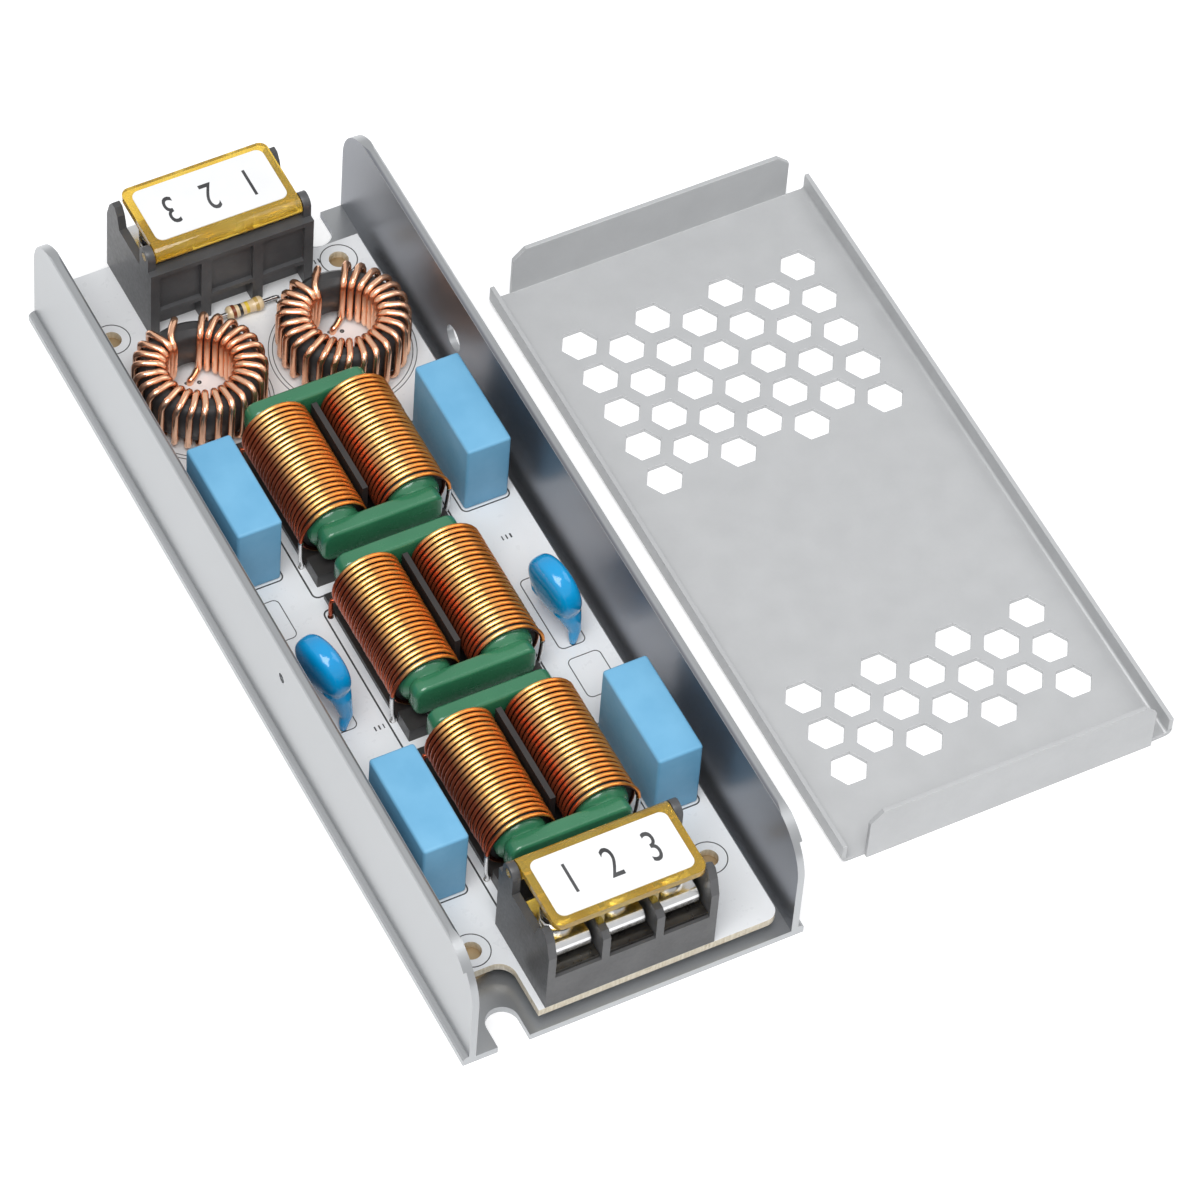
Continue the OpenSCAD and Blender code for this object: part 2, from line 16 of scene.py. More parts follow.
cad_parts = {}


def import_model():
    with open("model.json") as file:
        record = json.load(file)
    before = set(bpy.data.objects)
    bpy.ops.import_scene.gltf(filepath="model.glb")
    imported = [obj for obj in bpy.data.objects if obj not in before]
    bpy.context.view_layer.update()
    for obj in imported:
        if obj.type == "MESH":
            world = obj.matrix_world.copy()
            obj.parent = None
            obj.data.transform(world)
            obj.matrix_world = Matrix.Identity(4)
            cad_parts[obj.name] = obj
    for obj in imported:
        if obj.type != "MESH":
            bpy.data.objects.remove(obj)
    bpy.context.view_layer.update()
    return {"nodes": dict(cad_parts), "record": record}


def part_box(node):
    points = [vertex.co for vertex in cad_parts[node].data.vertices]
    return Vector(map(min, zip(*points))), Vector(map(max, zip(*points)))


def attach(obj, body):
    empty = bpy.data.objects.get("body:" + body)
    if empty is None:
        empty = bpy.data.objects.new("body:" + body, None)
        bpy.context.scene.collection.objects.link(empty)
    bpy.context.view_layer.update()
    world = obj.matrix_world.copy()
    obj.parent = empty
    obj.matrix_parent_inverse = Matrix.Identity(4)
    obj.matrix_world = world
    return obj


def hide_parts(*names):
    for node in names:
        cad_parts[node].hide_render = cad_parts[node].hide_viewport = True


MM = 0.001
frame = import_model()
NODES = frame["nodes"]


def box_of(name):
    """Lowest and highest corner of a node at rest, in metres."""
    lo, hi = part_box(name)
    return Vector(lo), Vector(hi)


def box_mm(name):
    """Lowest and highest corner of a node at rest, in mm."""
    lo, hi = box_of(name)
    return lo / MM, hi / MM


def middle(lo, hi):
    """The centre between two corners, as three plain numbers."""
    return tuple((a + b) / 2 for a, b in zip(lo, hi))


# camera: fitted to points read off the photograph
LENS = 216.927
SENSOR = 36
CAMERA_PLACE = (-0.335833, -0.622687, 0.948638)
CAMERA_RIGHT = (0.8903808, -0.4522415, 0.0519572)
CAMERA_UP = (0.3345741, 0.7275294, 0.5989668)
CAMERA_BACK = (-0.3086781, -0.515925, 0.7990865)


def camera():
    data = bpy.data.cameras.new("camera")
    data.sensor_width = SENSOR
    data.sensor_height = SENSOR
    data.sensor_fit = "HORIZONTAL"
    data.lens = LENS
    data.clip_start = 0.05
    data.clip_end = 50
    cam = bpy.data.objects.new("camera", data)
    turn = Matrix((CAMERA_RIGHT, CAMERA_UP, CAMERA_BACK)).transposed().to_4x4()
    turn.translation = Vector(CAMERA_PLACE)
    cam.matrix_world = turn
    bpy.context.scene.collection.objects.link(cam)
    bpy.context.scene.camera = cam


# node trees
class Nodes:
    """Short names for building a node tree."""

    def __init__(self, tree):
        self.tree = tree

    def node(self, kind, **props):
        n = self.tree.nodes.new("ShaderNode" + kind)
        for key, value in props.items():
            setattr(n, key, value)
        return n

    def link(self, a, b):
        self.tree.links.new(a, b)

    def calc(self, operation, *values):
        """A math node. Each value is a plain number or an output."""
        n = self.node("Math", operation=operation)
        for sock, value in zip(n.inputs, values):
            if isinstance(value, float):
                sock.default_value = value
            else:
                self.link(value, sock)
        return n.outputs[0]


class Graph(Nodes):
    """A material with one principled shader."""

    def __init__(self, name):
        self.mat = bpy.data.materials.new(name)
        self.mat.use_nodes = True
        super().__init__(self.mat.node_tree)
        self.shader = self.tree.nodes["Principled BSDF"]
        self.coord = self.node("TexCoord")

    def axes(self, kind):
        """X, Y and Z of a coordinate: Object is the place, Normal the direction of the face."""
        n = self.node("SeparateXYZ")
        self.link(self.coord.outputs[kind], n.inputs[0])
        return n.outputs

    def noise(self, scale, detail=3, stretch=(1, 1, 1), rough=0.5):
        place = self.node("Mapping")
        place.inputs["Scale"].default_value = stretch
        self.link(self.coord.outputs["Object"], place.inputs["Vector"])
        n = self.node("TexNoise")
        n.inputs["Scale"].default_value = scale
        n.inputs["Detail"].default_value = detail
        n.inputs["Roughness"].default_value = rough
        self.link(place.outputs["Vector"], n.inputs["Vector"])
        return n.outputs["Fac"]

    def span(self, value, low, high, a=0.3, b=0.7):
        """The value taken from the range a to b onto the range low to high."""
        n = self.node("MapRange")
        n.inputs["From Min"].default_value = a
        n.inputs["From Max"].default_value = b
        n.inputs["To Min"].default_value = low
        n.inputs["To Max"].default_value = high
        self.link(value, n.inputs["Value"])
        return n.outputs["Result"]

    def mix(self, fac, a, b):
        """A colour between a and b. Each is a plain colour or an output."""
        n = self.node("Mix", data_type="RGBA")
        self.link(fac, n.inputs["Factor"])
        for sock, value in ((n.inputs[6], a), (n.inputs[7], b)):
            if isinstance(value, tuple):
                sock.default_value = (*value, 1)
            else:
                self.link(value, sock)
        return n.outputs[2]

    def bump(self, height, strength, depth):
        """Fine relief. The depth is in mm."""
        n = self.node("Bump")
        n.inputs["Strength"].default_value = strength
        n.inputs["Distance"].default_value = depth * MM
        self.link(height, n.inputs["Height"])
        self.link(n.outputs["Normal"], self.shader.inputs["Normal"])

    def paint(self, colour, rough, **values):
        """Set the shader and return the finished material."""
        self.link(colour, self.shader.inputs["Base Color"])
        self.link(rough, self.shader.inputs["Roughness"])
        for key, value in values.items():
            self.shader.inputs[key.replace("_", " ")].default_value = value
        return self.mat


# materials
def grained(name, dark, light, rough, scale, bump, **values):
    """A surface with fine colour variation, uneven gloss and a fine grain."""
    g = Graph(name)
    grain = g.noise(scale, 4, rough=0.6)
    g.bump(grain, *bump)
    colour = g.mix(g.span(g.noise(scale * 0.12), 0, 1), dark, light)
    return g.paint(colour, g.span(grain, *rough), **values)


# dark and light tone, lowest and highest roughness, grain scale, bump strength and depth in mm
GRAINED = {
    "aluminium": dict(
        dark=(0.50, 0.505, 0.51), light=(0.53, 0.535, 0.54),
        rough=(0.50, 0.58), scale=1400, bump=(0.06, 0.05), Metallic=0.4,
    ),
    "tan_metal": dict(
        dark=(0.42, 0.30, 0.17), light=(0.52, 0.40, 0.24),
        rough=(0.35, 0.5), scale=900, bump=(0.1, 0.05), Metallic=0.7,
    ),
    # painted shade: tin darkened to near black for the contacts deep in the terminal bays
    "tin_in_painted_shade": dict(
        dark=(0.07, 0.065, 0.06), light=(0.12, 0.115, 0.105),
        rough=(0.25, 0.4), scale=900, bump=(0.15, 0.05), Metallic=0.9,
    ),
    "tin": dict(
        dark=(0.66, 0.66, 0.66), light=(0.80, 0.80, 0.80),
        rough=(0.14, 0.26), scale=1200, bump=(0.15, 0.05), Metallic=1.0,
    ),
    "black_plastic": dict(
        dark=(0.060, 0.060, 0.062), light=(0.085, 0.085, 0.088),
        rough=(0.34, 0.46), scale=1500, bump=(0.2, 0.06),
    ),
    "label_white": dict(
        dark=(0.84, 0.84, 0.84), light=(0.88, 0.88, 0.88),
        rough=(0.35, 0.5), scale=1200, bump=(0.1, 0.03),
    ),
    "green_epoxy": dict(
        dark=(0.024, 0.150, 0.070), light=(0.044, 0.205, 0.100),
        rough=(0.20, 0.30), scale=500, bump=(0.3, 0.2), Coat_Weight=0.4,
    ),
    "ring_copper": dict(
        dark=(0.88, 0.42, 0.24), light=(1.0, 0.62, 0.42),
        rough=(0.17, 0.26), scale=500, bump=(0.08, 0.05), Metallic=0.95,
    ),
    "dark_plate": dict(
        dark=(0.022, 0.020, 0.020), light=(0.036, 0.033, 0.032),
        rough=(0.3, 0.42), scale=900, bump=(0.15, 0.05),
    ),
    # painted shade: near black, for the sleeve inside each choke coil
    "black_painted_shade": dict(
        dark=(0.010, 0.010, 0.010), light=(0.020, 0.018, 0.018),
        rough=(0.5, 0.6), scale=900, bump=(0.1, 0.05),
    ),
    "dark_core": dict(
        dark=(0.020, 0.020, 0.022), light=(0.045, 0.044, 0.044),
        rough=(0.3, 0.45), scale=900, bump=(0.3, 0.1),
    ),
    "pale_blue_plastic": dict(
        dark=(0.14, 0.39, 0.61), light=(0.175, 0.445, 0.67),
        rough=(0.42, 0.55), scale=1300, bump=(0.2, 0.06),
    ),
    "disc_blue": dict(
        dark=(0.0, 0.27, 0.60), light=(0.002, 0.34, 0.70),
        rough=(0.10, 0.18), scale=250, bump=(0.12, 0.2), Coat_Weight=0.3,
    ),
    "ink": dict(
        dark=(0.030, 0.030, 0.032), light=(0.070, 0.070, 0.072),
        rough=(0.5, 0.65), scale=1800, bump=(0.2, 0.03),
    ),
}


def board_material():
    """White solder mask on the faces, bare tan laminate on the cut edges."""
    g = Graph("board")
    mask = g.mix(g.span(g.noise(60), 0, 1), (0.76, 0.77, 0.78), (0.82, 0.83, 0.84))
    fibres = g.noise(2500, stretch=(1, 1, 0.2))
    bare = g.mix(g.span(fibres, 0, 1), (0.56, 0.48, 0.34), (0.74, 0.67, 0.54))
    flat = g.calc("ABSOLUTE", g.axes("Normal")["Z"])
    fine = g.noise(700, 4)
    g.bump(fine, 0.1, 0.05)
    return g.paint(g.mix(g.span(flat, 0, 1, 0.45, 0.55), bare, mask), g.span(fine, 0.26, 0.36))


CHOKE_INSET = 0.5  # from the outside of the CAD's choke coil to the middle of the wire


def copper_material():
    """Enamelled wire, toned by its place round each choke coil.

    A painted highlight makes it golden along the crest, painted warm reflected light orange
    on the right flank, painted shade red on the left and painted shade dark between the turns.
    """
    g = Graph("copper")
    lo, hi = box_of("choke_1_coil_right")
    core_x, _, core_z = middle(*box_of("choke_1_core"))
    coil_x = (lo.x + hi.x) / 2 - core_x
    r = (hi.x - lo.x) / 2 - CHOKE_INSET * MM
    place = g.axes("Object")
    side = g.calc("SUBTRACT", place["X"], core_x)
    across = g.calc("SUBTRACT", side, g.calc("MULTIPLY", g.calc("SIGN", side), coil_x))
    up = g.calc("SUBTRACT", place["Z"], core_z)
    squares = (g.calc("MULTIPLY", across, across), g.calc("MULTIPLY", up, up))
    depth = g.calc("SQRT", g.calc("ADD", *squares))
    patch = g.span(g.noise(60), 0, 1)
    # painted highlight: golden copper along the crest of each coil
    crest_painted_highlight = g.mix(patch, (1.0, 0.58, 0.17), (1.0, 0.68, 0.26))
    # painted warm reflected light: orange copper on the right flank
    right = g.mix(patch, (0.88, 0.27, 0.04), (0.96, 0.35, 0.07))
    # painted shade: dark red copper on the left flank
    left = g.mix(patch, (0.40, 0.07, 0.025), (0.54, 0.12, 0.05))
    tone = g.mix(g.span(across, 0, 1, -0.25 * r, 0.2 * r), crest_painted_highlight, right)
    tone = g.mix(g.span(across, 1, 0, -0.85 * r, -0.45 * r), tone, left)
    # painted shade: dark copper in the gaps between the turns, below the wires' middles
    turn_gap_painted_shade = g.span(depth, 1, 0, r + 0.04 * MM, r + 0.17 * MM)
    tone = g.mix(turn_gap_painted_shade, tone, (0.06, 0.015, 0.008))
    return g.paint(tone, g.span(g.noise(500, 4), 0.18, 0.27), Metallic=0.75)


def tray_material():
    """Bare aluminium, with painted shade: darker on the faces that look into the tray."""
    g = Graph("tray_aluminium_painted_shade")
    patch = g.span(g.noise(20), 0, 1)
    bright = g.mix(patch, (0.42, 0.43, 0.44), (0.465, 0.475, 0.485))
    # painted shade: a darker tone for the wall faces that look into the tray
    inner_painted_shade = g.mix(patch, (0.21, 0.22, 0.245), (0.30, 0.31, 0.34))
    # below zero where a wall's face looks towards the middle line
    outward = g.calc("MULTIPLY", g.axes("Normal")["X"], g.axes("Object")["X"])
    tone = g.mix(g.span(outward, 1, 0, -0.020, -0.010), bright, inner_painted_shade)
    return g.paint(tone, g.span(g.noise(40, 2), 0.28, 0.33), Metallic=0.85)


def amber_material():
    """Tinted clear plastic with faint streaks along Y."""
    g = Graph("amber_plastic")
    streak = g.noise(160, stretch=(1, 0.3, 1))
    tone = g.mix(g.span(streak, 0, 1), (0.80, 0.50, 0.04), (0.95, 0.70, 0.12))
    g.bump(streak, 0.15, 0.2)
    return g.paint(tone, g.span(g.noise(900), 0.04, 0.10), Transmission_Weight=0.7, IOR=1.5)


# where each band starts and how wide it is, as parts of the body's length, and its tone
BANDS = (
    (0.12, 0.10, (0.20, 0.05, 0.02)),
    (0.32, 0.09, (0.03, 0.03, 0.03)),
    (0.50, 0.09, (0.72, 0.50, 0.05)),
    (0.76, 0.09, (0.50, 0.33, 0.10)),
)


def banded_material():
    """Lacquered resistor body with four plain colour bands."""
    g = Graph("beige_lacquer")
    lo, hi = box_of("resistor_body")
    along = g.span(g.axes("Object")["X"], 0, 1, lo.x, hi.x)
    tone = g.mix(g.span(g.noise(600), 0, 1), (0.66, 0.50, 0.28), (0.76, 0.60, 0.38))
    for start, width, band in BANDS:
        after = g.calc("GREATER_THAN", along, start)
        before = g.calc("LESS_THAN", along, start + width)
        tone = g.mix(g.calc("MULTIPLY", after, before), tone, band)
    return g.paint(tone, g.span(g.noise(900), 0.2, 0.3), Coat_Weight=0.4)


MATS = {name: grained(name, **look) for name, look in GRAINED.items()}
MATS["board"] = board_material()
MATS["copper"] = copper_material()
MATS["tray_aluminium_painted_shade"] = tray_material()
MATS["amber_plastic"] = amber_material()
MATS["beige_lacquer"] = banded_material()

# nodes whose material differs from the one named for their slot; on the tray and the contacts it
# carries painted shade, on the choke bases their own dark plastic
FINISH_AND_PAINTED_SHADE = {
    "tray": "tray_aluminium_painted_shade",
    "output_contacts": "tin_in_painted_shade",
    "input_contacts": "tin_in_painted_shade",
    "choke_1_base": "dark_plate",
    "choke_2_base": "dark_plate",
    "choke_3_base": "dark_plate",
}
# bevel widths in mm
BEVELS = {
    "top_cover": 0.15,
    "circuit_board": 0.1,
    "output_body": 0.18,
    "input_body": 0.18,
    "output_lid": 0.2,
    "input_lid": 0.2,
    "output_screws": 0.12,
    "input_screws": 0.12,
    "choke_1_base": 0.2,
    "choke_2_base": 0.2,
    "choke_3_base": 0.2,
    "ring_core_left": 0.3,
    "ring_core_right": 0.3,
}


def bevel(o, width, least):
    """Bevel the edges that turn by more than the least angle in degrees. The width is in mm."""
    edge = o.modifiers.new("edge", "BEVEL")
    edge.width = width * MM
    edge.segments = 2
    edge.limit_method = "ANGLE"
    edge.angle_limit = math.radians(least)
    return edge


def dress_nodes():
    """Give every CAD node its material, and some a fine bevel."""
    for part in frame["record"]["subparts"]:
        name = part["node"]
        o = NODES[name]
        o.data.materials.clear()
        o.data.materials.append(MATS[FINISH_AND_PAINTED_SHADE.get(name, part["material_slot"])])
        if name in BEVELS:
            weld = o.modifiers.new("weld", "WELD")
            weld.merge_threshold = 1e-6
            bevel(o, BEVELS[name], 60).harden_normals = True


# mesh helpers: a shape is a list of vertices in metres and a list of faces
def mesh_of(shape):
    verts, faces = shape
    mesh = bpy.data.meshes.new("piece")
    mesh.from_pydata([tuple(v) for v in verts], [], faces)
    mesh.update()
    return mesh


def new_object(name, mesh, slot, material=None, body="filter", smooth=True):
    """A visible piece that rides on a body. The material is the slot's own, if none is named."""
    o = bpy.data.objects.new(name, mesh)
    bpy.context.scene.collection.objects.link(o)
    mesh.materials.append(MATS[material or slot])
    for p in mesh.polygons:
        p.use_smooth = smooth
    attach(o, body)
    return o


def joined(*shapes):
    """One shape from several."""
    verts = []
    faces = []
    for v, f in shapes:
        base = len(verts)
        verts += v
        faces += [tuple(base + i for i in face) for face in f]
    return verts, faces


def skin(rows, sides, base=0, closed=False):
    """Faces over rows of points, each row going round once. Open runs get end faces."""
    faces = []
    for i in range(rows if closed else rows - 1):
        a = base + i * sides
        b = base + (i + 1) % rows * sides
        for k in range(sides):
            n = (k + 1) % sides
            faces.append((a + k, a + n, b + n, b + k))
    if not closed:
        faces.append(tuple(base + k for k in reversed(range(sides))))
        faces.append(tuple(base + (rows - 1) * sides + k for k in range(sides)))
    return faces


def swept(paths, radius, sides=8):
    """Round tubes along open paths in mm. The radius is one number or a list, one a point."""
    verts = []
    faces = []
    for path in paths:
        n = len(path)
        faces += skin(n, sides, len(verts))
        size = radius if isinstance(radius, list) else [radius] * n
        side = (path[1] - path[0]).normalized().orthogonal().normalized()
        for i, p in enumerate(path):
            t = (path[min(i + 1, n - 1)] - path[max(i - 1, 0)]).normalized()
            side = (side - t * side.dot(t)).normalized()
            other = t.cross(side)
            for k in range(sides):
                a = 2 * math.pi * k / sides
                verts.append((p + (side * math.cos(a) + other * math.sin(a)) * size[i]) * MM)
    return verts, faces


def revolved(profile, sides, place):
    """Solid of revolution. Profile points are (along, radius), and place puts them in mm."""
    verts = []
    for along, radius in profile:
        for k in range(sides):
            a = 2 * math.pi * k / sides
            verts.append(place(along, radius * math.cos(a), radius * math.sin(a)) * MM)
    return verts, skin(len(profile), sides)


def smooth_path(points, per):
    """A Catmull-Rom curve through the points, in so many steps from each to the next."""
    out = []
    n = len(points)
    for i in range(n - 1):
        p0 = points[max(i - 1, 0)]
        p1 = points[i]
        p2 = points[i + 1]
        p3 = points[min(i + 2, n - 1)]
        for j in range(per):
            t = j / per
            out.append(0.5 * (2 * p1 + (p2 - p0) * t + (2 * p0 - 5 * p1 + 4 * p2 - p3) * t * t
                              + (3 * p1 - p0 - 3 * p2 + p3) * t * t * t))
    out.append(points[-1])
    return out


def rounded(x0, y0, x1, y1, r, count, inset=0):
    """A rectangle with round corners, count points to each, pulled in by inset."""
    out = []
    corners = ((x1 - r, y0 + r, -90), (x1 - r, y1 - r, 0),
               (x0 + r, y1 - r, 90), (x0 + r, y0 + r, 180))
    for cx, cy, start in corners:
        for j in range(count):
            a = math.radians(start + 90 / (count - 1) * j)
            out.append((cx + (r - inset) * math.cos(a), cy + (r - inset) * math.sin(a)))
    return out


# windings
CHOKE_WIRE = 0.40  # wire radius
CHOKE_PITCH = 1.03  # from turn to turn
CHOKE_START = -30  # degrees round the coil at the first turn
LAST_TURN = 0.79  # the part turn from the last full turn to the lead
LAST_DRIFT = 0.9  # how far it runs along Y
TURN_STEPS = 30


def choke_coil(number, hand):
    """One wound choke coil, with its two leads through the board and a black sleeve inside it as
    painted shade between the turns.
    """
    node = f"choke_{number}_coil_{hand}"
    s = 1 if hand == "right" else -1
    lo, hi = box_mm(node)
    axis = middle(*box_mm(f"choke_{number}_core"))[2]
    radius = hi.z - axis
    r = radius - CHOKE_INSET
    cx = hi.x - radius if s > 0 else lo.x + radius
    y0 = lo.y + CHOKE_WIRE
    y1 = hi.y - CHOKE_WIRE
    length = y1 - y0 - LAST_DRIFT
    turns = round(length / CHOKE_PITCH)
    phase = number - 1
    path = []
    for i in range(int((turns + LAST_TURN) * TURN_STEPS) + 1):
        turn = i / TURN_STEPS
        a = math.radians(CHOKE_START) - 2 * math.pi * turn
        if turn < turns:
            y = y1 - length * turn / turns
        else:
            f = (turn - turns) / LAST_TURN
            y = y0 + LAST_DRIFT * (1 - f * f * (3 - 2 * f))
        # a few hundredths of a mm uneven, as wound by hand
        uneven = r + 0.03 * math.sin(i * 0.37 + phase) + 0.02 * math.sin(i * 0.051)
        path.append(Vector((cx + s * uneven * math.cos(a), y, axis + uneven * math.sin(a))))
    lead_x = cx + s * r
    first = [Vector((lead_x, y1, z)) for z in (lo.z, 6, 8.2, axis - 3.3)]
    last = smooth_path([
        path[-1],
        Vector((lead_x - s * 0.5, y0 - 0.1, axis + 2.6)),
        Vector((lead_x + s * 0.3, y0 - 0.2, axis + 0.7)),
        Vector((lead_x + s * 0.4, y0 - 0.2, axis - 1.8)),
        Vector((lead_x + s * 0.2, y0, 7.4)),
        Vector((lead_x, y0, 6.2)),
        Vector((lead_x, y0, lo.z)),
    ], 5)
    wound = swept([first + path[1:] + last[1:]], CHOKE_WIRE)
    o = new_object(f"choke_{number}_winding_{hand}", mesh_of(wound), "copper")
    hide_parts(node)
    # the lower part of the last lead is tinned
    tinned = swept([last[12:]], CHOKE_WIRE + 0.03)
    new_object(f"choke_{number}_lead_{hand}", mesh_of(tinned), "tin")
    # a black sleeve inside the winding: painted shade that darkens the gaps between the turns
    ends = [Vector((cx, y, axis)) for y in (lo.y + 1.2, (lo.y + hi.y) / 2, hi.y - 1.2)]
    shade_sleeve = swept([ends], r - CHOKE_WIRE + 0.12, 40)
    new_object(f"choke_{number}_sleeve_{hand}", mesh_of(shade_sleeve), "black_plastic", "black_painted_shade")


RING_WIRE = 0.6  # wire radius
RING_TURNS = 24
RING_DEPTH = 5.0  # radially across a turn, from wire middle to wire middle
RING_ROUND = 1.5  # corner radius of a turn
OPEN_SECTOR = 57  # degrees without turns, on the far side


def ring_winding(hand):
    """One ring choke winding, with a turn that crosses the open sector."""
    node = f"ring_coil_{hand}"
    core_lo, core_hi = box_mm(f"ring_core_{hand}")
    cx, cy, cz = middle(core_lo, core_hi)
    low = box_mm(node)[0].z - cz
    outer = (core_hi.x - core_lo.x) / 2 + RING_WIRE
    inner = outer - RING_DEPTH
    h = (core_hi.z - core_lo.z) / 2 + RING_WIRE

    def at(angle, x, z):
        return Vector((cx + x * math.cos(angle), cy + x * math.sin(angle), cz + z))

    # degrees round the ring, distance from its middle and height of each point
    enter = [
        (111, outer, low), (110, outer, low + 3), (100, outer + 0.1, -1.5),
        (91, outer + 0.1, 1.5), (89, outer - 0.1, h - 1.3), (91, outer - 1.1, h - 0.1),
        (100, outer - 2.6, h + 0.05), (109, inner + 1.1, h - 0.1), (114, inner - 0.2, h - 1.4),
        (116, inner - 0.3, 0), (117, inner - 0.1, 1.6 - h), (118, inner + 1.2, -h),
    ]
    leave = [
        (66, inner + 0.6, 0.6 - h), (78, inner - 1.2, 0.2 - h), (88, 4.1, -h - 0.1), (90, 4.0, low),
    ]
    path = smooth_path([at(math.radians(a), x, z) for a, x, z in enter], 5)
    section = rounded(inner, -h, outer, h, RING_ROUND, 5)
    gap = math.radians(OPEN_SECTOR)
    step = (2 * math.pi - gap) / (RING_TURNS - 1)
    start = math.radians(90) + gap / 2
    rand = random.Random(11)
    for i in range(RING_TURNS):
        sway = rand.uniform(-0.022, 0.022)
        puff = rand.uniform(0, 0.12)
        for j, (x, z) in enumerate(section):
            f = j / len(section)
            on_top = 4 < j < 11
            slant = 0.30 * math.sin(math.pi * (f - 0.25)) * 0.6
            a = start + step * (i + slant + (f - 0.5) * 0.55) + sway
            path.append(at(a, x, z + (puff if on_top else 0)))
    path += smooth_path([at(math.radians(a), x, z) for a, x, z in leave], 4)
    wound = mesh_of(swept([path], RING_WIRE))
    o = new_object(f"ring_winding_{hand}", wound, "copper", "ring_copper")
    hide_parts(node)


# cores
END_BAR = 3.0  # thickness of an end bar along Y
BAR_RIM = 0.7  # rounding of its rims
BAR_CORNER = 2.1
BAR_HALF = 3.45  # half its height


def choke_core(number):
    """Coated closed core: two end bars with rounded rims and the legs between them."""
    node = f"choke_{number}_core"
    lo, hi = box_mm(node)
    cx, _, axis = middle(lo, hi)
    verts = []
    faces = []
    for y0, y1 in ((lo.y, lo.y + END_BAR), (hi.y - END_BAR, hi.y)):
        rows = []
        for j in range(5):
            a = math.radians(22.5 * j)
            rows.append((y0 + BAR_RIM * (1 - math.cos(a)), BAR_RIM * (1 - math.sin(a))))
        rows += [(y0 + y1 - y, inset) for y, inset in reversed(rows)]
        faces += skin(len(rows), 28, len(verts))
        for y, inset in rows:
            ring = rounded(lo.x + 0.2, axis - BAR_HALF, hi.x - 0.5, axis + BAR_HALF,
                           BAR_CORNER, 7, inset)
            verts += [Vector((x, y, z)) * MM for x, z in ring]
    coil_hi = box_of(f"choke_{number}_coil_right")[1]
    leg_x = coil_hi.x / MM - (coil_hi.z / MM - axis) - cx
    # distance from the core's end and radius of a leg, which flares away from the bar
    flare = ((0.8, 3.0), (END_BAR - 0.4, 3.3), (END_BAR, 3.75),
             (END_BAR + 0.4, 4.3), (END_BAR + 1.0, 4.6), (END_BAR + 3.0, 4.7))
    back = flare[::-1]
    legs = []
    for s in (-1, 1):
        path = [Vector((cx + s * leg_x, lo.y + y, axis)) for y, _ in flare]
        path += [Vector((cx + s * leg_x, hi.y - y, axis)) for y, _ in back]
        legs.append(swept([path], [size for _, size in flare + back], 36))
    whole = mesh_of(joined((verts, faces), *legs))
    o = new_object(f"choke_{number}_coated_core", whole, "green_epoxy")
    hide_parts(node)


# capacitors and resistor
PIN_WIRE = 0.35  # radius of the capacitors' leads
PIN_MIDDLE = 4.2  # height of the middle point of each lead


def film_capacitor(number):
    """Moulded case with rounded edges, and its two leads."""
    node = f"film_capacitor_{number}"
    lo, hi = box_of(node)
    top = box_of("circuit_board")[1].z
    size = hi - Vector((lo.x, lo.y, top))
    place = Matrix.Translation(lo + size / 2 + Vector((0, 0, top - lo.z)))
    bm = bmesh.new()
    bmesh.ops.create_cube(bm, size=1, matrix=place @ Matrix.Diagonal((*size, 1)))
    bmesh.ops.bevel(bm, geom=bm.edges[:], offset=0.55 * MM, segments=4, profile=0.5,
                    affect="EDGES")
    mesh = bpy.data.meshes.new("case")
    bm.to_mesh(mesh)
    bm.free()
    o = new_object(f"film_case_{number}", mesh, "pale_blue_plastic")
    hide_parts(node)
    cx, cy, _ = (v / MM for v in middle(lo, hi))
    heights = (lo.z / MM, PIN_MIDDLE, top / MM + 0.6)
    legs = [[Vector((cx, cy + e * 7.5, z)) for z in heights] for e in (-1, 1)]
    pins = new_object(f"film_pins_{number}", mesh_of(swept(legs, PIN_WIRE)), "tin")
    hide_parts(node)


DISC_RADIUS = 5.75
DISC_HALF = 2.4  # half its thickness
DISC_LEAN = -8  # degrees, to the left
DISC_TWIST = {"left": 13, "right": 9}  # degrees about the upright
DISC_DROP = {"left": 0.25, "right": 2.05}  # before it leans, its top below the CAD's
LEAD_SPREAD = 5  # from the middle to each lead


